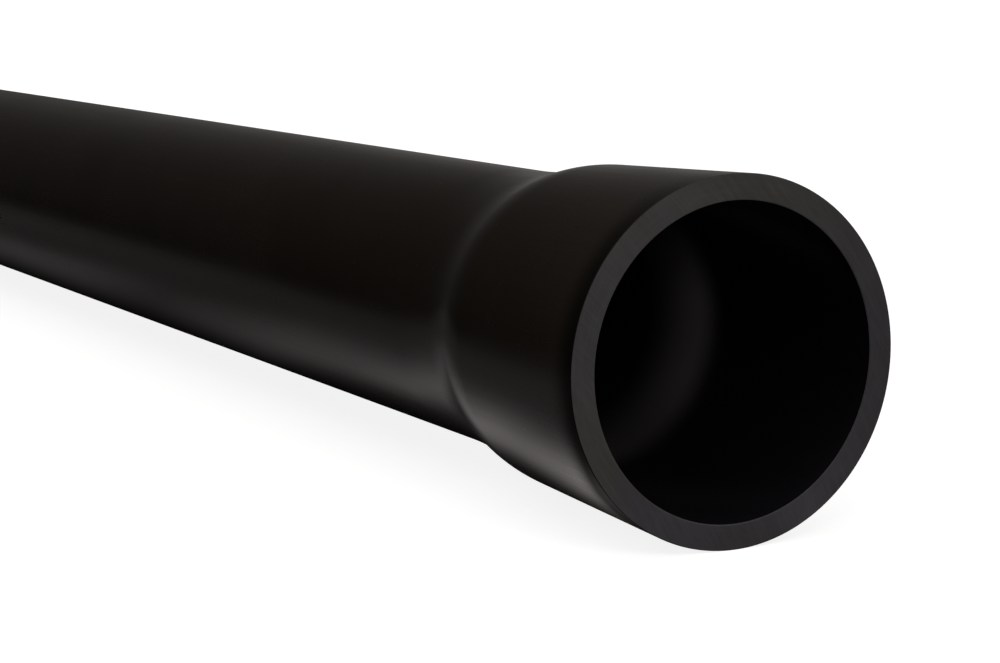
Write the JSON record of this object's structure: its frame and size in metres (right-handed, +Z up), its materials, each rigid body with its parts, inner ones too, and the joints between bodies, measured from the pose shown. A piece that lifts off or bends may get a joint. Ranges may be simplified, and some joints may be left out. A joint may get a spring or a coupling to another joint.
{
  "type": "drain pipe",
  "caption": "Straight solid-wall polyethylene drain pipe in black, with a belled push-fit socket at one end and a plain spigot at the other.",
  "frame": {"origin": "bottom centre of the bounding box: on the floor line under the pipe axis, half way along the pipe", "axes": "+Y along the pipe from the socket mouth to the plain end, +Z up from the floor, +X completes the frame"},
  "size_m": [0.1352, 3.048, 0.1348],
  "materials": {
    "black_pe": "satin"
  },
  "bodies": {
    "root": {"drain_pipe": "black_pe"}
  },
  "joints": []
}
